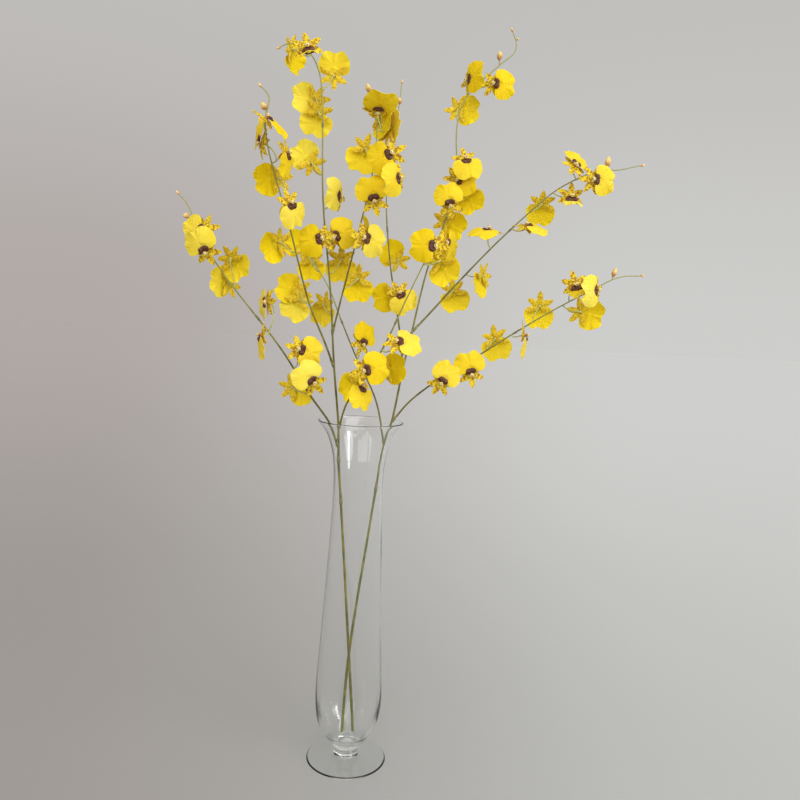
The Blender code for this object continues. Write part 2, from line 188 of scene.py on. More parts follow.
WINDOW = {"shape": "RECTANGLE", "only_shines": True}
lamp("soft sky", "SUN", 1.2, (0.9, -1.6, 3.0), (0, 0, 0.5), angle=math.radians(50))
lamp("right light", "SUN", 1.2, (1.6, -1.3, 1.2), (0, 0, 0.6), angle=math.radians(40))
lamp("front light", "SUN", 1.3, (-0.9, -2.2, 1.2), (0, 0, 0.6), angle=math.radians(60))
lamp("tall window", "AREA", 9.0, (-1.25, -1.5, 1.1), (0, 0, 0.5), size=0.14, size_y=1.2, **WINDOW)
lamp("right window", "AREA", 17.0, (1.6, -1.3, 1.15), (0, 0, 0.6), size=0.4, size_y=2.0, **WINDOW)

FLOOR_REACH = 30
FLOOR_DROP = 0.0004
VIEW_DISTANCE = 1.1
floor_data = bpy.data.meshes.new("floor")
corners = ((-1, -1), (1, -1), (1, 1), (-1, 1))
floor_points = [(x * FLOOR_REACH, y * FLOOR_REACH, -FLOOR_DROP) for x, y in corners]
floor_data.from_pydata(floor_points, [], [(0, 1, 2, 3)])
floor = bpy.data.objects.new("floor", floor_data)
scene.collection.objects.link(floor)
paint = Finish("pale floor with painted light")
spot = paint.spot()
side, deep = paint.split(spot, "XY")
fan = side.math("DIVIDE", (deep + VIEW_DISTANCE).math("ABSOLUTE") + 0.4)
cloud = paint.noise(spot, 1.5, 3.0)
grain = paint.noise(spot, 900.0)
away = paint.node("ShaderNodeVectorMath", {"operation": "LENGTH"}, {0: spot}, "Value")
nearness = (away + VIEW_DISTANCE).swapped("DIVIDE", VIEW_DISTANCE)
# Painted light and shade: the floor is darker on the left and near the vase, and brighter on the right
painted_shade_left = paint.mixed(nearness.between(0.0, 0.55), (0.414, 0.380, 0.372), (0.334, 0.314, 0.302))
bright = paint.mixed(nearness.between(0.1, 1.0), (0.591, 0.598, 0.592), (0.446, 0.451, 0.438))
painted_light_side = (fan + 0.03 * (cloud - 0.5)).between(*DIM_TO_BRIGHT)
floor_data.materials.append(paint.solid(paint.mixed(painted_light_side, painted_shade_left, bright), {
    "Roughness": 0.9, "Specular IOR Level": 0.0, "Normal": paint.bumps(grain, 0.1, 0.0005),
}))

# The vase: clear glass, blown in one piece and spun to a thin foot disc, a short collar, a tall
# bowl that swells low down and a flared lip with a fire-polished edge. It stands empty.

MM = 0.001
SHARP_EDGE = math.radians(50)
TINY = 1e-6


def curve_through(points, step):
    """Points about a step apart along a curve through the given points."""
    knots = [Vector(point) for point in points]
    knots = [2 * knots[0] - knots[1], *knots, 2 * knots[-1] - knots[-2]]
    route = []
    for before, start, end, after in zip(knots, knots[1:], knots[2:], knots[3:]):
        lengths = [(b - a).length ** 0.5 for a, b in ((before, start), (start, end), (end, after))]
        chord = (end - start) / lengths[1]
        leave = (start - before) / lengths[0] - (end - before) / (lengths[0] + lengths[1]) + chord
        reach = chord - (after - start) / (lengths[1] + lengths[2]) + (after - end) / lengths[2]
        leave *= lengths[1]
        reach *= lengths[1]
        pieces = max(1, round((end - start).length / step))
        for piece in range(pieces):
            t = piece / pieces
            route.append(
                (2 * t**3 - 3 * t**2 + 1) * start
                + (t**3 - 2 * t**2 + t) * leave
                + (3 * t**2 - 2 * t**3) * end
                + (t**3 - t**2) * reach
            )
    route.append(knots[-2])
    return route


def piece_of(name, points, faces, materials, node, wears=None, maps=None):
    """Makes one piece from points in millimetres, and puts it in its node's place."""
    data = bpy.data.meshes.new(name)
    data.from_pydata((np.asarray(points) * MM).tolist(), [], faces)
    for material in materials:
        data.materials.append(material)
    if wears is not None:
        data.polygons.foreach_set("material_index", np.asarray(wears, np.int32))
    for key, values in (maps or {}).items():
        kept = data.attributes.new(key, "FLOAT_VECTOR", "POINT")
        kept.data.foreach_set("vector", np.asarray(values, np.float32).ravel())
    data.shade_smooth()
    data.set_sharp_from_angle(angle=SHARP_EDGE)
    thing = bpy.data.objects.new(name, data)
    scene.collection.objects.link(thing)
    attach(thing, "root")
    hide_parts(node)


# The vase's measures in millimetres, and its outlines as (radius, height) pairs
VASE_SIDES = 144
GLASS_WALL = 2.2
VASE_HEIGHT = 500
NECK_RADIUS = 35.5
LIP_RADIUS = 60.5
LIP_ROUNDING = 1.2
BOWL_FLOOR = 28.5
UNDERSIDE = ((0, 6.8), (12, 6.3), (22, 4.2), (34, 1.6), (46, 0.5), (54, 0), (57, 0))
FOOT_EDGE = ((57, 0), (58, 1.2), (56.5, 2.4))
FOOT_TOP = ((56.5, 2.4), (30, 5), (18, 10), (17, 15), (18.5, 21), (23.5, 26))
BOWL = (
    (23.5, 26), (33, 39), (40.5, 50), (46, 68), (48.5, 100), (45.5, 166), (41.5, 245),
    (NECK_RADIUS, 410), (37.5, 446), (41.5, 466), (48, 483), (LIP_RADIUS, VASE_HEIGHT),
)
VASE_LIP = (
    (LIP_RADIUS, VASE_HEIGHT), (LIP_RADIUS - 0.2, VASE_HEIGHT + 0.8),
    (LIP_RADIUS - 1.2, VASE_HEIGHT + LIP_ROUNDING), (LIP_RADIUS - 2.1, VASE_HEIGHT + 0.8),
    (LIP_RADIUS - 2 * LIP_ROUNDING, VASE_HEIGHT),
)
INSIDE = [(LIP_RADIUS - 2 * LIP_ROUNDING, VASE_HEIGHT)]
INSIDE += [(radius - GLASS_WALL, height) for radius, height in reversed(BOWL[5:-1])]
INSIDE += [(45.4, 99), (41.6, 70), (36.0, 52), (29.5, 41.5), (21, 33.5), (11, BOWL_FLOOR + 1)]
INSIDE += [(0, BOWL_FLOOR)]
# Each run of the glass's outline, with the distance between its points
VASE_RUNS = ((UNDERSIDE, 4), (FOOT_EDGE, 0.7), (FOOT_TOP, 1.8), (BOWL, 4), (VASE_LIP, 0.7), (INSIDE, 4))


def vase_profile():
    """Radius and height of each turn of the glass, from under the foot round to the bowl's floor."""
    profile = []
    for run, step in VASE_RUNS:
        profile += curve_through([(radius, height, 0) for radius, height in run], step)[:-1]
    return [(abs(point.x), point.y) for point in profile] + [INSIDE[-1]]


def turned(profile, sides):
    """Points and faces of a closed profile spun round the vertical axis."""
    points, faces, rings = [], [], []
    for radius, height in profile:
        corners = sides if radius > TINY else 1
        rings.append(range(len(points), len(points) + corners))
        turns = [math.tau * corner / corners for corner in range(corners)]
        points += [(radius * math.cos(turn), radius * math.sin(turn), height) for turn in turns]
    for low, high in zip(rings, rings[1:]):
        for corner in range(sides):
            after = (corner + 1) % sides
            if len(low) == 1:
                faces.append((low[0], high[after], high[corner]))
            elif len(high) == 1:
                faces.append((low[corner], low[after], high[0]))
            else:
                faces.append((low[corner], low[after], high[after], high[corner]))
    return points, faces


glass = Finish("clear blown glass")
stretched = glass.node("ShaderNodeMapping", inputs={"Vector": glass.spot(), "Scale": (1.0, 1.0, 0.12)})
drawn_lines = glass.noise(stretched, 45.0, 1.0)
clear = glass.node("ShaderNodeBsdfPrincipled", inputs={
    "Base Color": (0.985, 0.992, 0.99), "Roughness": 0.0, "IOR": 1.47, "Transmission Weight": 1.0,
    "Normal": glass.bumps(drawn_lines, 0.2, 0.002),
})
shadow = glass.node("ShaderNodeBsdfTransparent", inputs={0: (0.93, 0.94, 0.935)})
is_shadow = glass.node("ShaderNodeLightPath", output="Is Shadow Ray")
is_diffuse = glass.node("ShaderNodeLightPath", output="Is Diffuse Ray")
lit_through = is_shadow.math("MAXIMUM", is_diffuse)
surface = glass.node("ShaderNodeMixShader", inputs={0: lit_through, 1: clear, 2: shadow})
depth = glass.node("ShaderNodeVolumeAbsorption", inputs={"Color": (0.86, 0.9, 0.88), "Density": 7.0})
glass.node("ShaderNodeOutputMaterial", inputs={"Surface": surface, "Volume": depth})

vase_points, vase_faces = turned(vase_profile(), VASE_SIDES)
piece_of("glass_vase", vase_points, vase_faces, [glass.owner], "vase")

# The sprays' green stems: two cut main stems that cross in the vase, with four thin side
# branches each. Papery sheaths wrap the swollen joints, and small closed buds end the branches.

# Each branch: where it leaves its main stem, the (right, back, up) points that it arches through, its
# width at both ends, the distances of its joints, its buds, as (distance, clock hour, reach, width),
# and the width of the bud at its tip where that isn't the usual one
BRANCHES = {
    "left_main": {
        "route": (
            (9, 13, 33.1), (-2, -3, 158), (-25, -14, 410), (-28, -16, 444), (-31, -19, 495),
            (-40, -24, 575), (-50, -28, 685), (-64, -33, 800), (-70, -35, 925), (-76, -35, 965),
            (-91, -35, 989), (-115, -35, 997), (-127, -35, 992),
        ),
        "widths": (4.4, 1.6),
        "joints": (354, 414, 594, 731, 866),
        "buds": (),
    },
    "left_low": {
        "leaves": 434,
        "route": (
            (-42, -29, 498), (-70, -32, 536), (-114, -36, 601), (-184, -42, 686),
            (-221, -46, 739), (-238, -48, 780), (-250, -48, 794),
        ),
        "widths": (3.0, 1.5),
        "joints": (210,),
        "buds": ((366, 9.5, 14, 7),),
    },
    "left_lean": {
        "leaves": 546,
        "route": (
            (-54, -36, 611), (-75, -46, 659), (-105, -65, 762), (-133, -84, 855),
            (-136, -90, 885), (-132, -94, 912), (-141, -95, 923),
        ),
        "widths": (2.8, 1.5),
        "joints": (200,),
        "buds": ((341, 11, 14, 7.5),),
    },
    "left_inner": {
        "leaves": 594,
        "route": (
            (-34, -40, 670), (-12, -56, 769), (0, -66, 831), (3, -74, 889), (-2, -77, 907),
            (-8, -80, 926),
        ),
        "widths": (2.6, 1.4),
        "joints": (190,),
        "buds": (),
        "tip_bud": 7,
    },
    "left_cross": {
        "leaves": 461,
        "route": (
            (-20, -42, 530), (-4, -56, 556), (26, -78, 611), (50, -96, 670), (72, -112, 722),
            (80, -118, 740),
        ),
        "widths": (2.8, 1.5),
        "joints": (180,),
        "buds": (),
    },
    "right_main": {
        "route": (
            (-8, 13, 31.8), (-2, 5, 158), (27, 8, 410), (31, 9, 446), (38.5, 11, 483),
            (44, 13, 500), (57, 20, 578), (67, 31, 627), (86, 38, 722), (110, 44, 797),
            (121, 48, 847), (119, 54, 930), (128, 57, 965), (150, 60, 993), (179, 60, 1021),
            (197, 60, 1038), (198, 60, 1052), (192, 60, 1066),
        ),
        "widths": (4.4, 1.4),
        "joints": (371, 601, 710, 825),
        "buds": ((1022, 12, 19, 8), (1067, 2, 6, 3)),
    },
    "right_back": {
        "leaves": 437,
        "route": ((20, 42, 528), (-11, 66, 587), (-38, 84, 645), (-57, 96, 688), (-88, 110, 736)),
        "widths": (2.8, 1.6),
        "joints": (200,),
        "buds": (),
    },
    "right_rear": {
        "leaves": 551,
        "route": (
            (50, 44, 632), (33, 66, 725), (23, 86, 818), (24, 100, 891), (36, 112, 969),
            (38, 114, 1000),
        ),
        "widths": (2.8, 1.4),
        "joints": (210, 300),
        "buds": ((402, 12, 15, 6.5),),
    },
    "right_high": {
        "leaves": 605,
        "route": (
            (95, 36, 661), (128, 32, 701), (175, 24, 755), (215, 16, 797), (258, 8, 837),
            (296, 2, 859), (318, 0, 867), (340, -2, 868), (372, -3, 876),
        ),
        "widths": (2.8, 1.3),
        "joints": (200,),
        "buds": ((361, 0, 19, 8),),
    },
    "right_low": {
        "leaves": 471,
        "route": (
            (68, 20, 529), (102, 8, 560), (150, -6, 594), (200, -20, 631), (258, -36, 671),
            (306, -48, 700), (329, -55, 714), (346, -55, 719), (365, -55, 720),
        ),
        "widths": (2.8, 1.3),
        "joints": (220,),
        "buds": ((367, 0.5, 17, 7),),
    },
}
ROUTE_STEP = 36
TIP_BUD = 3
# A tip bud starts this far back in its branch and is this many times as long as it is wide
TIP_BUD_ROOT, TIP_BUD_LENGTH = 4, 1.8


def clock(hour):
    """The direction of a clock hour as seen from the front."""
    return Vector((math.sin(math.tau * hour / 12), 0, math.cos(math.tau * hour / 12)))


def along(route, distance):
    """The point that far along a route, and the route's direction there."""
    for start, end in zip(route, route[1:]):
        length = (end - start).length
        if distance <= length or end is route[-1]:
            return start.lerp(end, distance / length), (end - start).normalized()
        distance -= length


def length_of(route):
    """The length of a route along its points."""
    return sum((end - start).length for start, end in zip(route, route[1:]))


def branch_route(name, step=ROUTE_STEP):
    """A branch's curved middle line, from where it leaves its main stem or from its cut end."""
    branch = BRANCHES[name]
    points = [Vector(point) for point in branch["route"]]
    if "leaves" in branch:
        main = branch_route(name.split("_")[0] + "_main")
        points.insert(0, along(main, branch["leaves"])[0])
    return curve_through(points, step)


class Heap:
    """Points, faces, materials and kept numbers of one piece, gathered before its mesh is made."""

    def __init__(self):
        self.points, self.faces, self.wears, self.kept = [], [], [], []

    def add(self, points, faces, wear, kept):
        base = len(self.points)
        self.points += [tuple(point) for point in points]
        self.faces += [tuple(base + corner for corner in face) for face in faces]
        self.wears += wear if isinstance(wear, list) else [wear] * len(faces)
        self.kept += [tuple(numbers) for numbers in kept]


def rings_joined(count, sides):
    """Faces between rings of points, with a cap at each end."""
    faces = []
    for ring in range(count - 1):
        for corner in range(sides):
            after = (corner + 1) % sides
            low, high = ring * sides, (ring + 1) * sides
            faces.append((low + corner, low + after, high + after, high + corner))
    first, last = range(sides), range((count - 1) * sides, count * sides)
    return [tuple(first)[::-1], *faces, tuple(last)]


def tube(centres, radii, sides, shape=None):
    """A closed tube round a route. The shape may change a ring's radius from side to side."""
    points = []
    side = (centres[1] - centres[0]).orthogonal().normalized()
    for number, (centre, radius) in enumerate(zip(centres, radii)):
        ahead = centres[min(number + 1, len(centres) - 1)] - centres[max(number - 1, 0)]
        if ahead.length < TINY:
            ahead = centres[-1] - centres[0]
        ahead.normalize()
        side = (side - side.project(ahead)).normalized()
        other = ahead.cross(side)
        for corner in range(sides):
            angle = math.tau * corner / sides
            reach = radius * (shape(number, angle) if shape else 1)
            points.append(centre + reach * (math.cos(angle) * side + math.sin(angle) * other))
    return points, rings_joined(len(centres), sides)


STEM_SKIN, SHEATH_SKIN, BUD_SKIN = range(3)
STEM_STEP = 5
RING_GAP = 2.0
MAIN_SIDES, BRANCH_SIDES = 12, 10
JOINT_SWELL = 0.32
JOINT_BELOW, JOINT_ABOVE = 2.0, 4.5
SHEATH_SIDES = 12
SHEATH_LENGTH = 11
FIRST_SHEATH = 3
# The sheath's outline, as (share of its length, girth against the stem's): over its outer side up to
# the edge, and back down inside. What is below the joint is in millimetres.
SHEATH_PROFILE = (
    (-1.5, 0.7), (-1.0, 1.16), (0, 1.5), (0.3, 1.42), (0.6, 1.36), (0.85, 1.4), (1.0, 1.46),
    (1.0, 1.2), (0.8, 0.7),
)
# The bud's outline, as (share of its length with its stalk, share of its width)
BUD_PROFILE = (
    (0, 0.3), (0.1, 0.24), (0.18, 0.22), (0.26, 0.26), (0.34, 0.5), (0.42, 0.8), (0.52, 0.96),
    (0.63, 1.0), (0.75, 0.9), (0.86, 0.68), (0.94, 0.42), (0.985, 0.2), (1, 0.04),
)
BUD_SIDES = 18


def stem_width(name, share):
    """A branch's width at a share of its length."""
    first, last = BRANCHES[name]["widths"]
    return first + (last - first) * share


def joint_swell(distance, joint):
    """How much wider a stem is near a joint: steep below the ring, and slow above it."""
    past = distance - joint
    return JOINT_SWELL * math.exp(-((past / (JOINT_BELOW if past < 0 else JOINT_ABOVE)) ** 2))


def add_stem(heap, name, chance):
    """One branch with its swollen joints and their sheaths. Gives back its route."""
    route = branch_route(name, STEM_STEP)
    total = length_of(route)
    joints = BRANCHES[name]["joints"]
    is_main = name.endswith("main")
    sides = MAIN_SIDES if is_main else BRANCH_SIDES
    centres, radii, kept = [], [], []
    for number in range(int(total / RING_GAP) + 1):
        distance = RING_GAP * number
        share = distance / total
        swell = 1 + sum(joint_swell(distance, joint) for joint in joints)
        centres.append(along(route, distance)[0])
        radii.append(stem_width(name, share) / 2 * swell)
        kept += [(share if is_main else 0.35 + 0.65 * share, 0, 0)] * sides
    points, faces = tube(centres, radii, sides)
    heap.add(points, faces, STEM_SKIN, kept)
    for joint in joints if is_main else (*joints, FIRST_SHEATH):
        add_sheath(heap, name, route, joint, total, chance)
    return route


def add_sheath(heap, name, route, joint, total, chance):
    """A thin papery sleeve round a joint, longer on one side, where it ends in a point."""
    radius = stem_width(name, joint / total) / 2
    long_side = chance.uniform(0, math.tau)
    length = SHEATH_LENGTH * chance.uniform(0.8, 1.2) * (0.6 + 0.13 * radius * 2)
    points, kept = [], []
    side = None
    for place, girth in SHEATH_PROFILE:
        for corner in range(SHEATH_SIDES):
            angle = math.tau * corner / SHEATH_SIDES
            tall = 0.45 + 0.55 * (0.5 + 0.5 * math.cos(angle - long_side)) ** 1.5
            far = joint + (place * length * tall if place > 0 else place)
            centre, ahead = along(route, far)
            if side is None:
                side = ahead.orthogonal().normalized()
            across = (side - side.project(ahead)).normalized()
            other = ahead.cross(across)
            points.append(centre + radius * girth * (math.cos(angle) * across + math.sin(angle) * other))
            kept.append((max(place, 0), angle / math.tau, 0))
    heap.add(points, rings_joined(len(SHEATH_PROFILE), SHEATH_SIDES), SHEATH_SKIN, kept)


def add_bud(heap, base, tip, width, chance):
    """A closed bud on its short stalk: three folded sepals that meet in a blunt point."""
    places, girths = zip(*BUD_PROFILE)
    turn = chance.uniform(0, math.tau)
    lean = Vector([chance.uniform(-1, 1) for axis in range(3)]) * 0.08 * (tip - base).length
    centres = [base.lerp(tip, place) + lean * math.sin(math.pi * place) for place in places]

    def folds(number, angle):
        return 1 + 0.09 * math.cos(3 * (angle - turn)) * min(girths[number], 0.8)

    points, faces = tube(centres, [width / 2 * girth for girth in girths], BUD_SIDES, folds)
    kept = [(place, corner / BUD_SIDES, 0) for place in places for corner in range(BUD_SIDES)]
    heap.add(points, faces, BUD_SKIN, kept)


def add_buds(heap, name, route, chance):
    """The bud that ends a branch, and those that stand out near its end."""
    end, ahead = route[-1], (route[-1] - route[-2]).normalized()
    width = BRANCHES[name].get("tip_bud", TIP_BUD)
    tip = end + (1 + TIP_BUD_LENGTH * width) * ahead
    add_bud(heap, end - TIP_BUD_ROOT * ahead, tip, width, chance)
    coarse = branch_route(name)
    for distance, hour, reach, width in BRANCHES[name]["buds"]:
        base = along(coarse, distance)[0]
        add_bud(heap, base, base + reach * clock(hour), width, chance)


stem = Finish("olive stem skin")
[share] = stem.mapped("stem_map", "X")
spot = stem.spot()
mottle = stem.noise(spot, 60.0, 3.0)
rust = stem.noise(spot, 21.0)
stretched = stem.node("ShaderNodeMapping", inputs={"Vector": spot, "Scale": (1.0, 1.0, 0.06)})
fibre = stem.noise(stretched, 1500.0)
shade = stem.mixed(mottle.between(0.35, 0.68), (0.10, 0.098, 0.012), (0.22, 0.205, 0.032))
shade = stem.mixed(rust.between(0.55, 0.68) * 0.6, shade, (0.16, 0.095, 0.015))
shade = stem.mixed(share.between(0.5, 1.0), shade, (0.34, 0.34, 0.09))
STEM = stem.solid(shade, {
    "Roughness": 0.5 - 0.12 * mottle, "Specular IOR Level": 0.25,
    "Normal": stem.bumps(fibre, 0.25, 0.0004),
})

sheath = Finish("papery sheath")
place, round_it = sheath.mapped("stem_map", "XY")
paper = sheath.speckle(round_it * 30, place * 1.5, 0.5)
sheath_colour = sheath.mixed(place.between(0.3, 1.1), (0.15, 0.16, 0.045), (0.30, 0.26, 0.11))
SHEATH = sheath.solid(sheath_colour, {
    "Roughness": 0.65, "Normal": sheath.bumps(paper, 0.3, 0.0003),
})

closed_bud = Finish("closed bud")
place, round_it = closed_bud.mapped("stem_map", "XY")
blush = closed_bud.speckle(round_it * 6, place * 5, 0.3)
bud_colour = closed_bud.mixed(place.between(0.25, 0.5), (0.36, 0.34, 0.1), (0.78, 0.56, 0.16))
rusty = (place + 0.3 * (blush - 0.5)).between(0.75, 0.4) * place.between(0.16, 0.3) * 0.75
BUD = closed_bud.solid(closed_bud.mixed(rusty, bud_colour, (0.50, 0.20, 0.05)), {
    "Roughness": 0.45, "Subsurface Weight": 0.2,
    "Subsurface Radius": (0.002, 0.001, 0.0003), "Subsurface Scale": 1.0,
})

for spray in ("left", "right"):
    heap = Heap()
    chance = random.Random(spray)
    for name in BRANCHES:
        if name.startswith(spray):
            add_buds(heap, name, add_stem(heap, name, chance), chance)
    piece_of(
        f"{spray}_green_stem", heap.points, heap.faces, [STEM, SHEATH, BUD],
        f"{spray}_spray_stem", heap.wears, {"stem_map": heap.kept},
    )

# The blooms: each hangs on a thin stalk and has five narrow tepals, barred red-brown on yellow, and
# one broad, waved yellow lip that narrows to a waist below a dark, warty callus and a winged column.

# Each foot: its distance along the branch, then one to three blooms, each as (clock hour and reach of
# its middle from the branch as seen from the front, how far it stands forward, the clock hour that
# its lip points to from there, degrees its face is turned to the right of the front, degrees it looks
# up, and a 1 if it is young)
BLOOMS = {
    "left_low": (
        (90, (0.75, 18, 21, 10.5, 15, 0), (9.5, 25, -11, 3.5, 165, 0)),
        (130, (0.5, 28, 11, 3.5, 15, 0)),
        (190, (7.5, 7, 24, 6, -75, 0), (12, 39, 11, 8.5, -62, 0)),
        (265, (9.75, 11, -26, 9.5, 230, 0), (11.75, 38, -11, 5, 160, 0)),
        (320, (5, 4, 27, 11, -10, -15), (12, 26, 22, 8.5, -15, 0)),
    ),
    "left_lean": (
        (95, (9.75, 16, -22, 7, 170, 0), (10.5, 24, -27, 9.5, 190, 0)),
        (165, (10, 26, -11, 7.5, 220, 0)),
        (225, (2.75, 10, 25, 5.5, 45, 0), (11.5, 38, -11, 8.5, 200, 0)),
        (280, (2, 22, 12, 6, 75, 0), (11, 31, -14, 11.5, -65, 0)),
        (315, (0.25, 13, 22, 4, 65, 48)),
    ),
    "left_main": (
        (620, (10.75, 18, -20, 6.5, 142, 0)),
        (675, (1.25, 26, -11, 6, 180, 0)),
        (705, (11.25, 14, 27, 8.5, -10, 0), (1, 18, 24, 2, 15, 0)),
        (760, (1.75, 25, 11, 9.5, 60, 0)),
        (805, (10.5, 23, -13, 10.5, 190, 0)),
        (880, (10.75, 10, -14, 6.5, 180, 15), (11.25, 31, -29, 9, 190, 0)),
        (915, (1.25, 26, -11, 0, 180, 0)),
        (960, (10.5, 2, 26, 5.5, 0, 0, 1), (9.75, 29, -17, 5, 240, 0)),
    ),
    "left_inner": (
        (65, (1.75, 23, -15, 6, 170, 0)),
        (120, (1.5, 16, 21, 3.5, 28, 0), (1.25, 22, -12, 11.5, 100, 0)),
        (185, (4, 11, 20, 11.5, 0, 0), (2, 44, 37, 8, 50, 0)),
        (230, (11, 24, -14, 6.5, 190, 0)),
        (230, (2.25, 24, 22, 8, -10, 0)),
        (270, (2.75, 15, -12, 1.5, 118, 0), (0.25, 25, -13, 5.5, 125, 0), (12, 20, 26, 1, 10, -64)),
    ),
    "left_cross": (
        (70, (0.25, 11, -26, 7.5, 215, 0)),
        (65, (1.25, 15, 29, 6, 50, 15)),
        (104, (10, 7, 38, 2.5, 10, 0)),
        (115, (3.75, 18, -8, 2.5, 150, 0)),
        (140, (2, 21, 21, 3, 10, 42)),
        (265, (2.5, 22, -17, 5, 160, 0), (1, 25, 12, 9, -5, 0)),
    ),
    "right_back": (
        (140, (0.5, 24, 13, 0.5, 42, 0)),
        (290, (10.75, 21, -13, 6, 180, 0), (10.75, 42, -11, 10, 190, 0)),
    ),
    "right_rear": (
        (95, (11.5, 17, -21, 8.5, 190, 0), (0.25, 20, 18, 5, 15, 0)),
        (150, (1, 20, -20, 10.5, 190, 0)),
    ),
    "right_main": (
        (730, (2, 14, 22, 3.5, 50, 0)),
        (755, (0.75, 20, -19, 4, 170, 0)),
        (780, (0.25, 12, 24, 11.5, 0, 0)),
        (810, (2.25, 23, -14, 5, 165, 0), (0.25, 21, 16, 3, 15, 0)),
        (850, (1.5, 14, 22, 5.5, 5, 20)),
        (920, (12, 20, -20, 3, 170, 0)),
        (970, (10, 12, 23, 2.5, -58, 0), (2.5, 27, 11, 3, 5, 0)),
    ),
    "right_high": (
        (70, (1.75, 18, -21, 5.5, 180, 0)),
        (115, (3, 26, -11, 6.5, 232, 0)),
        (165, (11.5, 24, 11, 8, -20, 65)),
        (205, (2.75, 18, 12, 3.5, 20, 65)),
        (240, (1.75, 23, -15, 6, 180, 20)),
        (280, (3.5, 23, 14, 6, 0, 0, 1)),
        (315, (11, 17, 20, 1, 30, 35), (3.25, 18, 23, 3, 10, 0)),
    ),
    "right_low": (
        (80, (2, 13, 34, 1, 5, 0)),
        (120, (3.25, 23, 16, 11.5, 0, 0)),
        (175, (1.25, 21, -18, 5.5, 180, 0)),
        (215, (3, 15, 12, 6, 75, 0)),
        (250, (0.75, 24, -11, 6, 180, 0)),
        (295, (3.5, 29, -11, 3.5, 165, 0)),
        (305, (0.25, 22, 14, 5.5, 0, 0, 1)),
        (325, (2, 12, 22, 8.5, 42, 0)),
    ),
}
# How pale each bloom's lip is, from 0 to 9, in the order of the table above. This is partly the bloom's
# own tone and partly painted light: lit blooms are painted paler and whiter, shaded ones deeper gold.
PALENESS_AND_PAINTED_LIGHT = {
    "left_low": (9, 4, 5, 6, 8, 7, 5, 7, 7),
    "left_lean": (9, 3, 1, 8, 1, 3, 4, 3),
    "left_main": (6, 4, 2, 4, 9, 9, 7, 9, 6, 6, 1),
    "left_inner": (1, 8, 3, 3, 5, 4, 3, 9, 1, 3),
    "left_cross": (0, 4, 3, 2, 7, 4, 2),
    "right_back": (1, 0, 0),
    "right_rear": (0, 7, 0),
    "right_main": (3, 1, 4, 2, 2, 5, 4, 2, 2),
    "right_high": (4, 3, 4, 6, 3, 9, 4, 6),
    "right_low": (6, 4, 5, 6, 4, 3, 5, 9),
}
LIP_SKIN, TEPAL_SKIN, CALLUS_SKIN, COLUMN_SKIN, STALK_SKIN = range(5)
LIP_EDGE = ((3, 5, 1.8), (10, 2, 3.4), (18.5, 4, 3), (21.5, 13, 0.5), (17.5, 25, -2), (9, 32, -0.5))
LIP_NOTCH = (0, 29, 2)
LIP_MIDDLE = (0, 15, 4.0)
LIP_WAIST = (0, -4, 0)
WAIST_TO_EDGE = 28
EDGE_STEP = 0.6
LIP_SPOKES = 64
LIP_RINGS = (0.2, 0.4, 0.58, 0.72, 0.83, 0.91, 0.96, 1.0)
LIP_THICKNESS = 0.7
# The waves round the lip's edge, as (times round, height)
BROAD_WAVES, FINE_WAVES = (7, 0.9), (12, 0.55)
FRILLS, FRILL_REACH = 9, 0.018
GROOVE_WIDTH, GROOVE_DEPTH = 2.2, 0.9
# What the third number kept at a point of a lip's or a tepal's back is more than at its front
BACK_MARK = 10


def blade(rows, columns, closed_round=False):
    """Faces of a thin closed blade, whose front grid of points comes first and its back grid next."""
    faces = []
    size = rows * columns
    spans = range(columns if closed_round else columns - 1)
    for row in range(rows - 1):
        for column in spans:
            after = (column + 1) % columns
            a, b = row * columns + column, row * columns + after
            c, d = b + columns, a + columns
            faces += [(a, d, c, b), (size + a, size + b, size + c, size + d)]
    last = (rows - 1) * columns
    for column in spans:
        after = (column + 1) % columns
        faces.append((last + after, last + column, size + last + column, size + last + after))
        if not closed_round:
            faces.append((column, after, size + after, size + column))
    if not closed_round:
        for row in range(rows - 1):
            a, d = row * columns, (row + 1) * columns
            faces.append((d, a, size + a, size + d))
            a, d = a + columns - 1, d + columns - 1
            faces.append((a, d, size + d, size + a))
    return faces


def thickened(grid, thickness, closed_round):
    """Front and back points of a grid that is given its thickness along its own normals."""
    if closed_round:
        across = np.roll(grid, -1, 1) - np.roll(grid, 1, 1)
    else:
        across = np.gradient(grid, axis=1)
    down = np.gradient(grid, axis=0)
    normal = np.cross(down, across)
    normal /= np.linalg.norm(normal, axis=2, keepdims=True) + 1e-9
    offset = normal * thickness[..., None] / 2
    return grid + offset, grid - offset


def lip_outline():
    """The lip's edge as evenly spread spokes from its middle: their ends, seen from the front."""
    half = [(across, -down, forward) for across, down, forward in LIP_EDGE]
    left = [(-across, down, forward) for across, down, forward in half]
    loop = [left[0], *half, (LIP_NOTCH[0], -LIP_NOTCH[1], LIP_NOTCH[2]), *left[::-1], half[0]]
    edge = np.array(curve_through(loop[1:-1], EDGE_STEP))
    edge = np.vstack([edge, edge[:1]])
    steps = np.r_[0, np.cumsum(np.linalg.norm(np.diff(edge, axis=0), axis=1))]
    places = np.linspace(0, steps[-1], LIP_SPOKES, endpoint=False)
    return np.stack([np.interp(places, steps, edge[:, axis]) for axis in range(3)], 1)


OUTLINE = lip_outline()


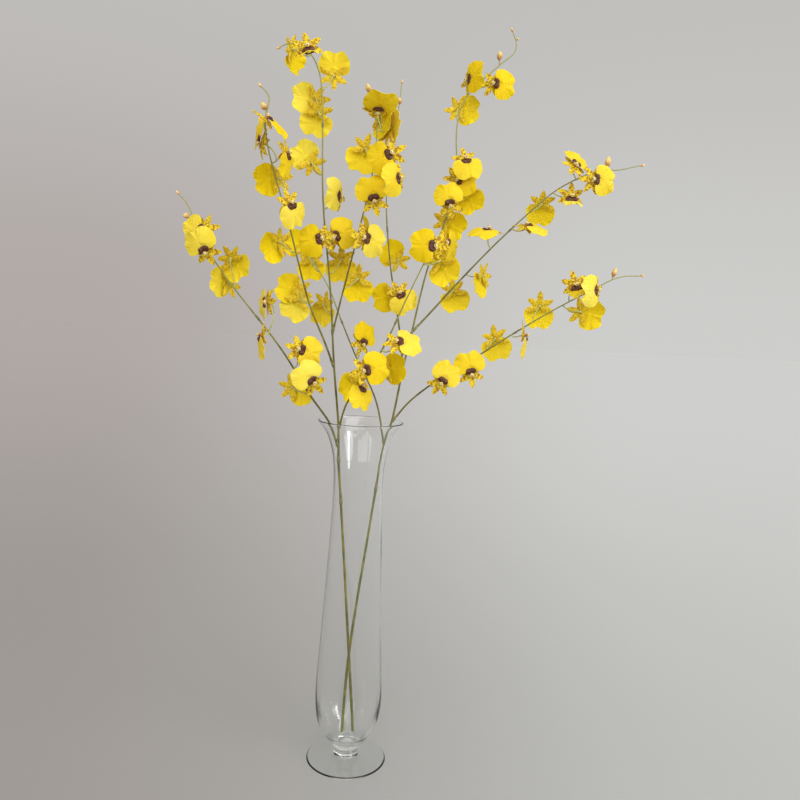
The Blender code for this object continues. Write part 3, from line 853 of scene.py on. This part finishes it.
def add_lip(heap, frame_of, pale, chance):
    """The broad lip: rings from its middle to its edge, cupped, waved and grooved down the middle."""
    middle = np.array([LIP_MIDDLE[0], -LIP_MIDDLE[1], LIP_MIDDLE[2]])
    angle = np.arctan2(OUTLINE[:, 1] - middle[1], OUTLINE[:, 0] - middle[0])
    phase, second, spread = chance.uniform(0, 6.3), chance.uniform(0, 6.3), chance.uniform(0.97, 1.04)
    below = np.clip((-OUTLINE[:, 1] - 6) / 12, 0, 1)
    wave = BROAD_WAVES[1] * np.sin(BROAD_WAVES[0] * angle + phase)
    wave = (wave + FINE_WAVES[1] * np.sin(FINE_WAVES[0] * angle + second)) * below
    frill = FRILL_REACH * np.sin(FRILLS * angle + second) * below
    rings = []
    for share in LIP_RINGS:
        ring = middle + (OUTLINE - middle) * share
        ring[:, 2] = middle[2] + (OUTLINE[:, 2] - middle[2]) * share**1.7
        ring[:, 2] += wave * share**3
        ring[:, :2] += (OUTLINE - middle)[:, :2] * (frill * share**4)[:, None]
        ring[:, 0] *= spread
        groove = GROOVE_DEPTH * np.exp(-((ring[:, 0] / GROOVE_WIDTH) ** 2))
        ring[:, 2] -= groove * np.clip((-ring[:, 1] - 9) / 8, 0, 1)
        rings.append(ring)
    grid = np.array(rings)[:, ::-1]
    shares = np.array(LIP_RINGS)[:, None] * np.ones(LIP_SPOKES)
    front, back = thickened(grid, LIP_THICKNESS * (1 - 0.5 * shares**4), True)
    centre = (0, 0, LIP_THICKNESS / 2)
    points = np.vstack([front.reshape(-1, 3), back.reshape(-1, 3), middle + centre, middle - centre])
    size = front.shape[0] * LIP_SPOKES
    faces = blade(len(LIP_RINGS), LIP_SPOKES, True)
    for spoke in range(LIP_SPOKES):
        after = (spoke + 1) % LIP_SPOKES
        faces += [(2 * size, spoke, after), (2 * size + 1, size + after, size + spoke)]
    from_waist = points - LIP_WAIST
    fan = np.arctan2(from_waist[:, 0], -from_waist[:, 1])
    reach = np.hypot(from_waist[:, 0], from_waist[:, 1]) / WAIST_TO_EDGE
    side = pale + BACK_MARK * np.r_[np.zeros(size), np.ones(size), 0, 1]
    heap.add(frame_of(points), faces, LIP_SKIN, np.stack([fan, reach, side], 1))


TEPAL_LENGTH = 20
TEPAL_WIDTH = 8.6
TEPAL_THICKNESS = 0.7
TEPAL_DROOP = 3.6
TEPAL_ANGLES = (28, 90, 152, 205, 335)
TEPAL_ROWS, TEPAL_COLUMNS = 15, 7


def add_tepal(heap, frame_of, angle, number, chance):
    """A narrow tepal that bends backwards, with a keel along its middle and a wavy edge."""
    turn = math.radians(angle + chance.uniform(-5, 5))
    length = TEPAL_LENGTH * chance.uniform(0.94, 1.04)
    curl, twist, phase = chance.uniform(-1.5, 2.0), chance.uniform(-0.25, 0.25), chance.uniform(0, 6.3)
    s = np.linspace(0, 1, TEPAL_ROWS)[:, None]
    u = np.linspace(-1, 1, TEPAL_COLUMNS)[None, :]
    half = TEPAL_WIDTH / 2 * (s + 0.12) ** 0.7 * (1.0 - s) ** 0.72 / 0.44
    half = np.maximum(half, 0.12)
    out = (1.0 + (length - 1.0) * s) * np.ones_like(u)
    across = half * u
    edge_wave = 0.7 * np.sin(9 * s + phase) * np.abs(u) ** 3 * s * (1 - s) * 2
    keel = 0.35 * np.exp(-((across / 0.7) ** 2))
    forward = -TEPAL_DROOP * s + curl * s**3 + 0.16 * half * u**2 + edge_wave
    forward = forward - keel + twist * across * s
    x = out * math.cos(turn) - across * math.sin(turn)
    y = out * math.sin(turn) + across * math.cos(turn)
    grid = np.stack([x, y, forward * np.ones_like(x)], 2)
    thickness = TEPAL_THICKNESS * (1 - 0.45 * np.abs(u) ** 3) * np.ones_like(s)
    front, back = thickened(grid, thickness, False)
    points = np.vstack([front.reshape(-1, 3), back.reshape(-1, 3)])
    own = np.full(x.shape, number + chance.random())
    sheets = [(s * np.ones_like(u), u * np.ones_like(s), own + mark) for mark in (0, BACK_MARK)]
    kept = np.vstack([np.stack(sheet, 2).reshape(-1, 3) for sheet in sheets])
    heap.add(frame_of(points), blade(TEPAL_ROWS, TEPAL_COLUMNS), TEPAL_SKIN, kept)


CALLUS_SPREAD, CALLUS_DEPTH = 8.4, 5.8
CALLUS_PLACE = (0, -5.0, 2.3)
CALLUS_SIDES, CALLUS_ROWS = 44, 10
SWELLING_ASIDE = 4.3
CALLUS_TOP, CALLUS_BOTTOM = 1.9, -0.3


def add_callus(heap, frame_of, chance):
    """The warty crest on the lip's waist: two blunt swellings side by side and a ridge between them."""
    sides, rows = CALLUS_SIDES, CALLUS_ROWS
    points, kept = [], []
    turns = [chance.uniform(0, math.tau) for wart in range(3)]
    for row in range(rows):
        t = 1 - row / rows
        for side in range(sides):
            angle = math.tau * side / sides
            reach = t * (1 - 0.16 * abs(math.sin(angle)) ** 5) * (1 + 0.04 * math.sin(5 * angle + turns[0]))
            x, y = CALLUS_SPREAD * reach * math.cos(angle), CALLUS_DEPTH * reach * math.sin(angle)
            asides = [x - mirror * SWELLING_ASIDE for mirror in (-1, 1)]
            swell = sum(math.exp(-(aside**2 + 0.7 * y * y) / 9.5) for aside in asides)
            ridge = 0.8 * math.exp(-x * x / 1.6 - (y + 1) ** 2 / 9)
            warts = 0.22 * math.sin(2.1 * x + turns[1]) * math.sin(2.3 * y + turns[2])
            height = (1 - t**3) * (0.9 + 2.3 * swell + ridge + warts) + 0.12 * abs(x)
            points.append((x, y, height))
            kept.append((t, angle, 0))
    points += [(0, 0, CALLUS_TOP), (0, 0, CALLUS_BOTTOM)]
    kept += [(0, 0, 0), (1, 0, 1)]
    faces = []
    for row in range(rows - 1):
        for side in range(sides):
            after = (side + 1) % sides
            low, high = row * sides, (row + 1) * sides
            faces.append((low + side, low + after, high + after, high + side))
    top = (rows - 1) * sides
    faces += [(top + side, top + (side + 1) % sides, rows * sides) for side in range(sides)]
    wears = [CALLUS_SKIN] * len(faces) + [LIP_SKIN] * sides
    faces += [((side + 1) % sides, side, rows * sides + 1) for side in range(sides)]
    heap.add(frame_of(np.array(points) + CALLUS_PLACE), faces, wears, kept)


# The column's middle line and its radius along it
COLUMN_LINE = (
    (0, 0.2, -0.8), (0, 0.4, 1.4), (0, 0.7, 3.4), (0, 0.8, 5.0), (0, 0.7, 6.3), (0, 0.4, 7.1),
    (0, 0.2, 7.4),
)
COLUMN_GIRTHS = (2.5, 2.2, 1.8, 2.0, 2.4, 1.7, 0.5)
COLUMN_SIDES = 12
WING_ROWS, WING_COLUMNS = 6, 5
WING_THICKNESS = 0.5


def add_column(heap, frame_of):
    """The short column above the callus, which leans forward, with a cap at its end and two wings."""
    count = len(COLUMN_LINE)
    points, faces = tube([Vector(point) for point in COLUMN_LINE], COLUMN_GIRTHS, COLUMN_SIDES)
    kept = [(number / (count - 1), 0, 0) for number in range(count) for side in range(COLUMN_SIDES)]
    heap.add(frame_of(np.array(points)), faces, COLUMN_SKIN, kept)
    for mirror in (-1, 1):
        s = np.linspace(0, 1, WING_ROWS)[:, None]
        u = np.linspace(-1, 1, WING_COLUMNS)[None, :]
        half = 1.7 * np.sqrt(np.maximum(1 - (2 * s - 0.9) ** 2, 0.02))
        x = mirror * (0.9 + 2.9 * s) * np.ones_like(u)
        y = 1.6 + half * u + 0.4 * s
        z = 4.4 + 0.7 * s * np.ones_like(u) - 0.5 * u
        grid = np.stack([x, y, z], 2)
        front, back = thickened(grid, np.full(x.shape, WING_THICKNESS), False)
        wing = np.vstack([front.reshape(-1, 3), back.reshape(-1, 3)])
        kept = np.tile([0.5, 0, 0], (len(wing), 1))
        heap.add(frame_of(wing), blade(WING_ROWS, WING_COLUMNS), COLUMN_SKIN, kept)


STALK_RINGS, STALK_SIDES = 18, 12
THREAD_RADIUS, OVARY_SWELL, FOOT_SWELL = 0.78, 1.1, 0.35
# How far the stalk's end is sunk towards the branch's middle, and how thick it is there
STALK_SUNK, SUNK_RADIUS = 0.6, 1.0


def add_stalk(heap, middle, facing, root, leave, start):
    """The bloom's stalk: a ribbed ovary behind the petals that thins to a curved thread."""
    bend = 0.4 * (middle - root).length
    knots = (middle, middle - bend * facing, root + bend * leave, root)
    centres, radii = [], []
    for number in range(STALK_RINGS + 1):
        t = number / STALK_RINGS
        pulls = [math.comb(3, k) * t**k * (1 - t) ** (3 - k) for k in range(4)]
        centres.append(sum((pull * knot for pull, knot in zip(pulls, knots)), Vector()))
        ovary = OVARY_SWELL * math.exp(-((t / 0.2) ** 2))
        foot = FOOT_SWELL * math.exp(-(((1 - t) / 0.06) ** 2))
        radii.append(THREAD_RADIUS + ovary + foot)
    centres.append(root.lerp(start, STALK_SUNK))
    radii.append(SUNK_RADIUS)

    def ribs(number, angle):
        return 1 + 0.1 * math.cos(6 * angle) * max(0, 1 - number / 7)

    points, faces = tube(centres, radii, STALK_SIDES, ribs)
    kept = [(number / STALK_RINGS, 0, 0) for number in range(len(centres)) for side in range(STALK_SIDES)]
    heap.add(points, faces, STALK_SKIN, kept)


# A young bloom's lip is still folded narrow and stands out forwards
LIP_HINGE = (0, -5, 1.8)
YOUNG_HINGE = (0, -9, 1.4)
YOUNG_WIDTH = 0.6
YOUNG_FOLD = (0.17, 0.98)


def add_bloom(heap, middle, facing, down, pale, young, chance):
    """A bloom with its middle at a place, its face turned one way and its lip pointing down."""
    across = (-down).cross(facing)
    axes = np.array([across, -down, facing])
    origin = np.array(middle)

    def frame_of(points):
        return np.asarray(points) @ axes + origin

    def folded_frame(points):
        aside, along_it, out = (np.asarray(points) - LIP_HINGE).T
        little, much = YOUNG_FOLD
        swung = [aside * YOUNG_WIDTH, little * along_it + much * out, little * out - much * along_it]
        return frame_of(np.stack(swung, 1) + YOUNG_HINGE)

    add_lip(heap, folded_frame if young else frame_of, pale, chance)
    for number, angle in enumerate(TEPAL_ANGLES):
        add_tepal(heap, frame_of, angle, number, chance)
    add_callus(heap, frame_of, chance)
    add_column(heap, frame_of)


lip = Finish("bright yellow lip")
fan, reach, kept = lip.mapped("bloom_map")
behind = kept.between(BACK_MARK / 2 - 0.1, BACK_MARK / 2 + 0.1)
pale = kept - BACK_MARK * behind
cloud = lip.noise(lip.spot(), 55.0, 3.0)
wander = lip.speckle(fan * 1.5, reach * 2, behind, 3.0)
vein = (fan * 34 + 5 * (wander - 0.5)).math("SINE").between(0.55, 1.0) * reach.between(0.12, 0.3)
mottle = cloud.between(0.3, 0.7)
# Partly own tone and partly painted light: lips go from deep gold for shaded blooms to pale lemon for lit
# ones
gold_and_shade = lip.mixed(mottle, (0.84, 0.59, 0.001), (0.79, 0.54, 0.001))
lemon_and_light = lip.mixed(mottle, (0.90, 0.73, 0.11), (0.89, 0.70, 0.07))
yellow = lip.mixed(pale * pale, gold_and_shade, lemon_and_light)
yellow = lip.mixed(vein * 0.3, yellow, (0.74, 0.47, 0.003))
yellow = lip.mixed(behind * 0.3, yellow, (0.94, 0.74, 0.012))
freckle = lip.speckle(fan * 8, reach * 26, behind, 1.0, 1.0).between(0.56, 0.62)
freckle = freckle * reach.between(0.42, 0.2) * (1 - behind)
yellow = lip.mixed(freckle * 0.8, yellow, (0.3, 0.06, 0.01))
PETAL_GLOW = {
    "Subsurface Weight": 0.25, "Subsurface Radius": (0.0025, 0.0016, 0.0002), "Subsurface Scale": 1.0,
}
LIP_MATERIAL = lip.solid(yellow, {
    "Roughness": 0.45 + 0.12 * cloud, "Specular IOR Level": 0.08,
    "Normal": lip.bumps(vein * 0.6 + cloud * 0.5, 0.35, 0.0006), **PETAL_GLOW,
})

tepal = Finish("barred tepal")
place, side, own = tepal.mapped("bloom_map")
bars = tepal.speckle(side * 1.1, place * 6.5, own * 9, 1.0, 1.5)
behind = own.between(7.9, 8.1)
bar_mask = bars.between(0.47, 0.58) * (0.78 - 0.36 * behind)
tepal_colour = tepal.mixed(behind, (0.78, 0.58, 0.02), (0.76, 0.55, 0.02))
tepal_colour = tepal.mixed(bar_mask, tepal_colour, (0.27, 0.10, 0.018))
TEPAL_MATERIAL = tepal.solid(tepal_colour, {
    "Roughness": 0.5 - 0.12 * bar_mask, "Specular IOR Level": 0.12,
    "Normal": tepal.bumps(bars, 0.3, 0.0005), **PETAL_GLOW,
})

callus = Finish("maroon callus")
warts = callus.noise(callus.spot(), 700.0)
callus_colour = callus.mixed(warts.between(0.55, 0.72), (0.075, 0.018, 0.008), (0.33, 0.13, 0.02))
CALLUS_MATERIAL = callus.solid(callus_colour, {
    "Roughness": 0.45, "Specular IOR Level": 0.3, "Normal": callus.bumps(warts, 0.5, 0.0006),
})

column = Finish("cream column")
[place] = column.mapped("bloom_map", "X")
flecks = column.noise(column.spot(), 900.0, 1.0)
column_colour = column.mixed(place.between(0.3, 0.6), (0.45, 0.22, 0.03), (0.85, 0.70, 0.28))
column_colour = column.mixed(flecks.between(0.5, 0.6) * 0.5, column_colour, (0.3, 0.07, 0.02))
column_colour = column.mixed(place.between(0.93, 0.99), column_colour, (0.2, 0.05, 0.015))
COLUMN_MATERIAL = column.solid(column_colour, {"Roughness": 0.45, "Subsurface Weight": 0.1})

stalk = Finish("pale green stalk")
[place] = stalk.mapped("bloom_map", "X")
streak = stalk.noise(stalk.spot(), 250.0)
stalk_colour = stalk.mixed(streak.between(0.35, 0.65), (0.40, 0.42, 0.10), (0.52, 0.52, 0.17))
STALK_MATERIAL = stalk.solid(stalk.mixed(place.between(0.3, 0.0), stalk_colour, (0.62, 0.55, 0.14)), {
    "Roughness": 0.5, "Normal": stalk.bumps(streak, 0.2, 0.0004),
})

FOOT_GAP = 0.35
PALEST = 9
BLOOM_MATERIALS = [LIP_MATERIAL, TEPAL_MATERIAL, CALLUS_MATERIAL, COLUMN_MATERIAL, STALK_MATERIAL]

for name, feet in BLOOMS.items():
    route = branch_route(name)
    total = length_of(route)
    # Each bloom's paleness, partly painted light, is handed to its lip
    paleness_and_light = iter(PALENESS_AND_PAINTED_LIGHT[name])
    for number, (foot, *blooms) in enumerate(feet, 1):
        heap = Heap()
        chance = random.Random(f"{name} {number}")
        start, ahead = along(route, foot)
        radius = stem_width(name, foot / total) / 2
        middles = [
            start + reach * clock(hour) - Vector((0, fore, 0)) for hour, reach, fore, *rest in blooms
        ]
        leave = sum(middles, Vector()) / len(middles) - start
        leave = (leave - leave.project(ahead)).normalized()
        root = start + (radius + FOOT_GAP) * leave
        for middle, (hour, reach, fore, lip_hour, turn, nod, *young) in zip(middles, blooms):
            turn, nod = math.radians(turn), math.radians(nod)
            level = math.cos(nod)
            facing = Vector((math.sin(turn) * level, -math.cos(turn) * level, math.sin(nod)))
            down = clock(lip_hour)
            down.y = -down.dot(facing) / facing.y
            down.normalize()
            add_bloom(heap, middle, facing, down, next(paleness_and_light) / PALEST, bool(young), chance)
            add_stalk(heap, middle, facing, root, leave, start)
        piece_of(
            f"{name}_flowers_{number}", heap.points, heap.faces, BLOOM_MATERIALS,
            f"{name}_bloom_{number}", heap.wears, {"bloom_map": heap.kept},
        )
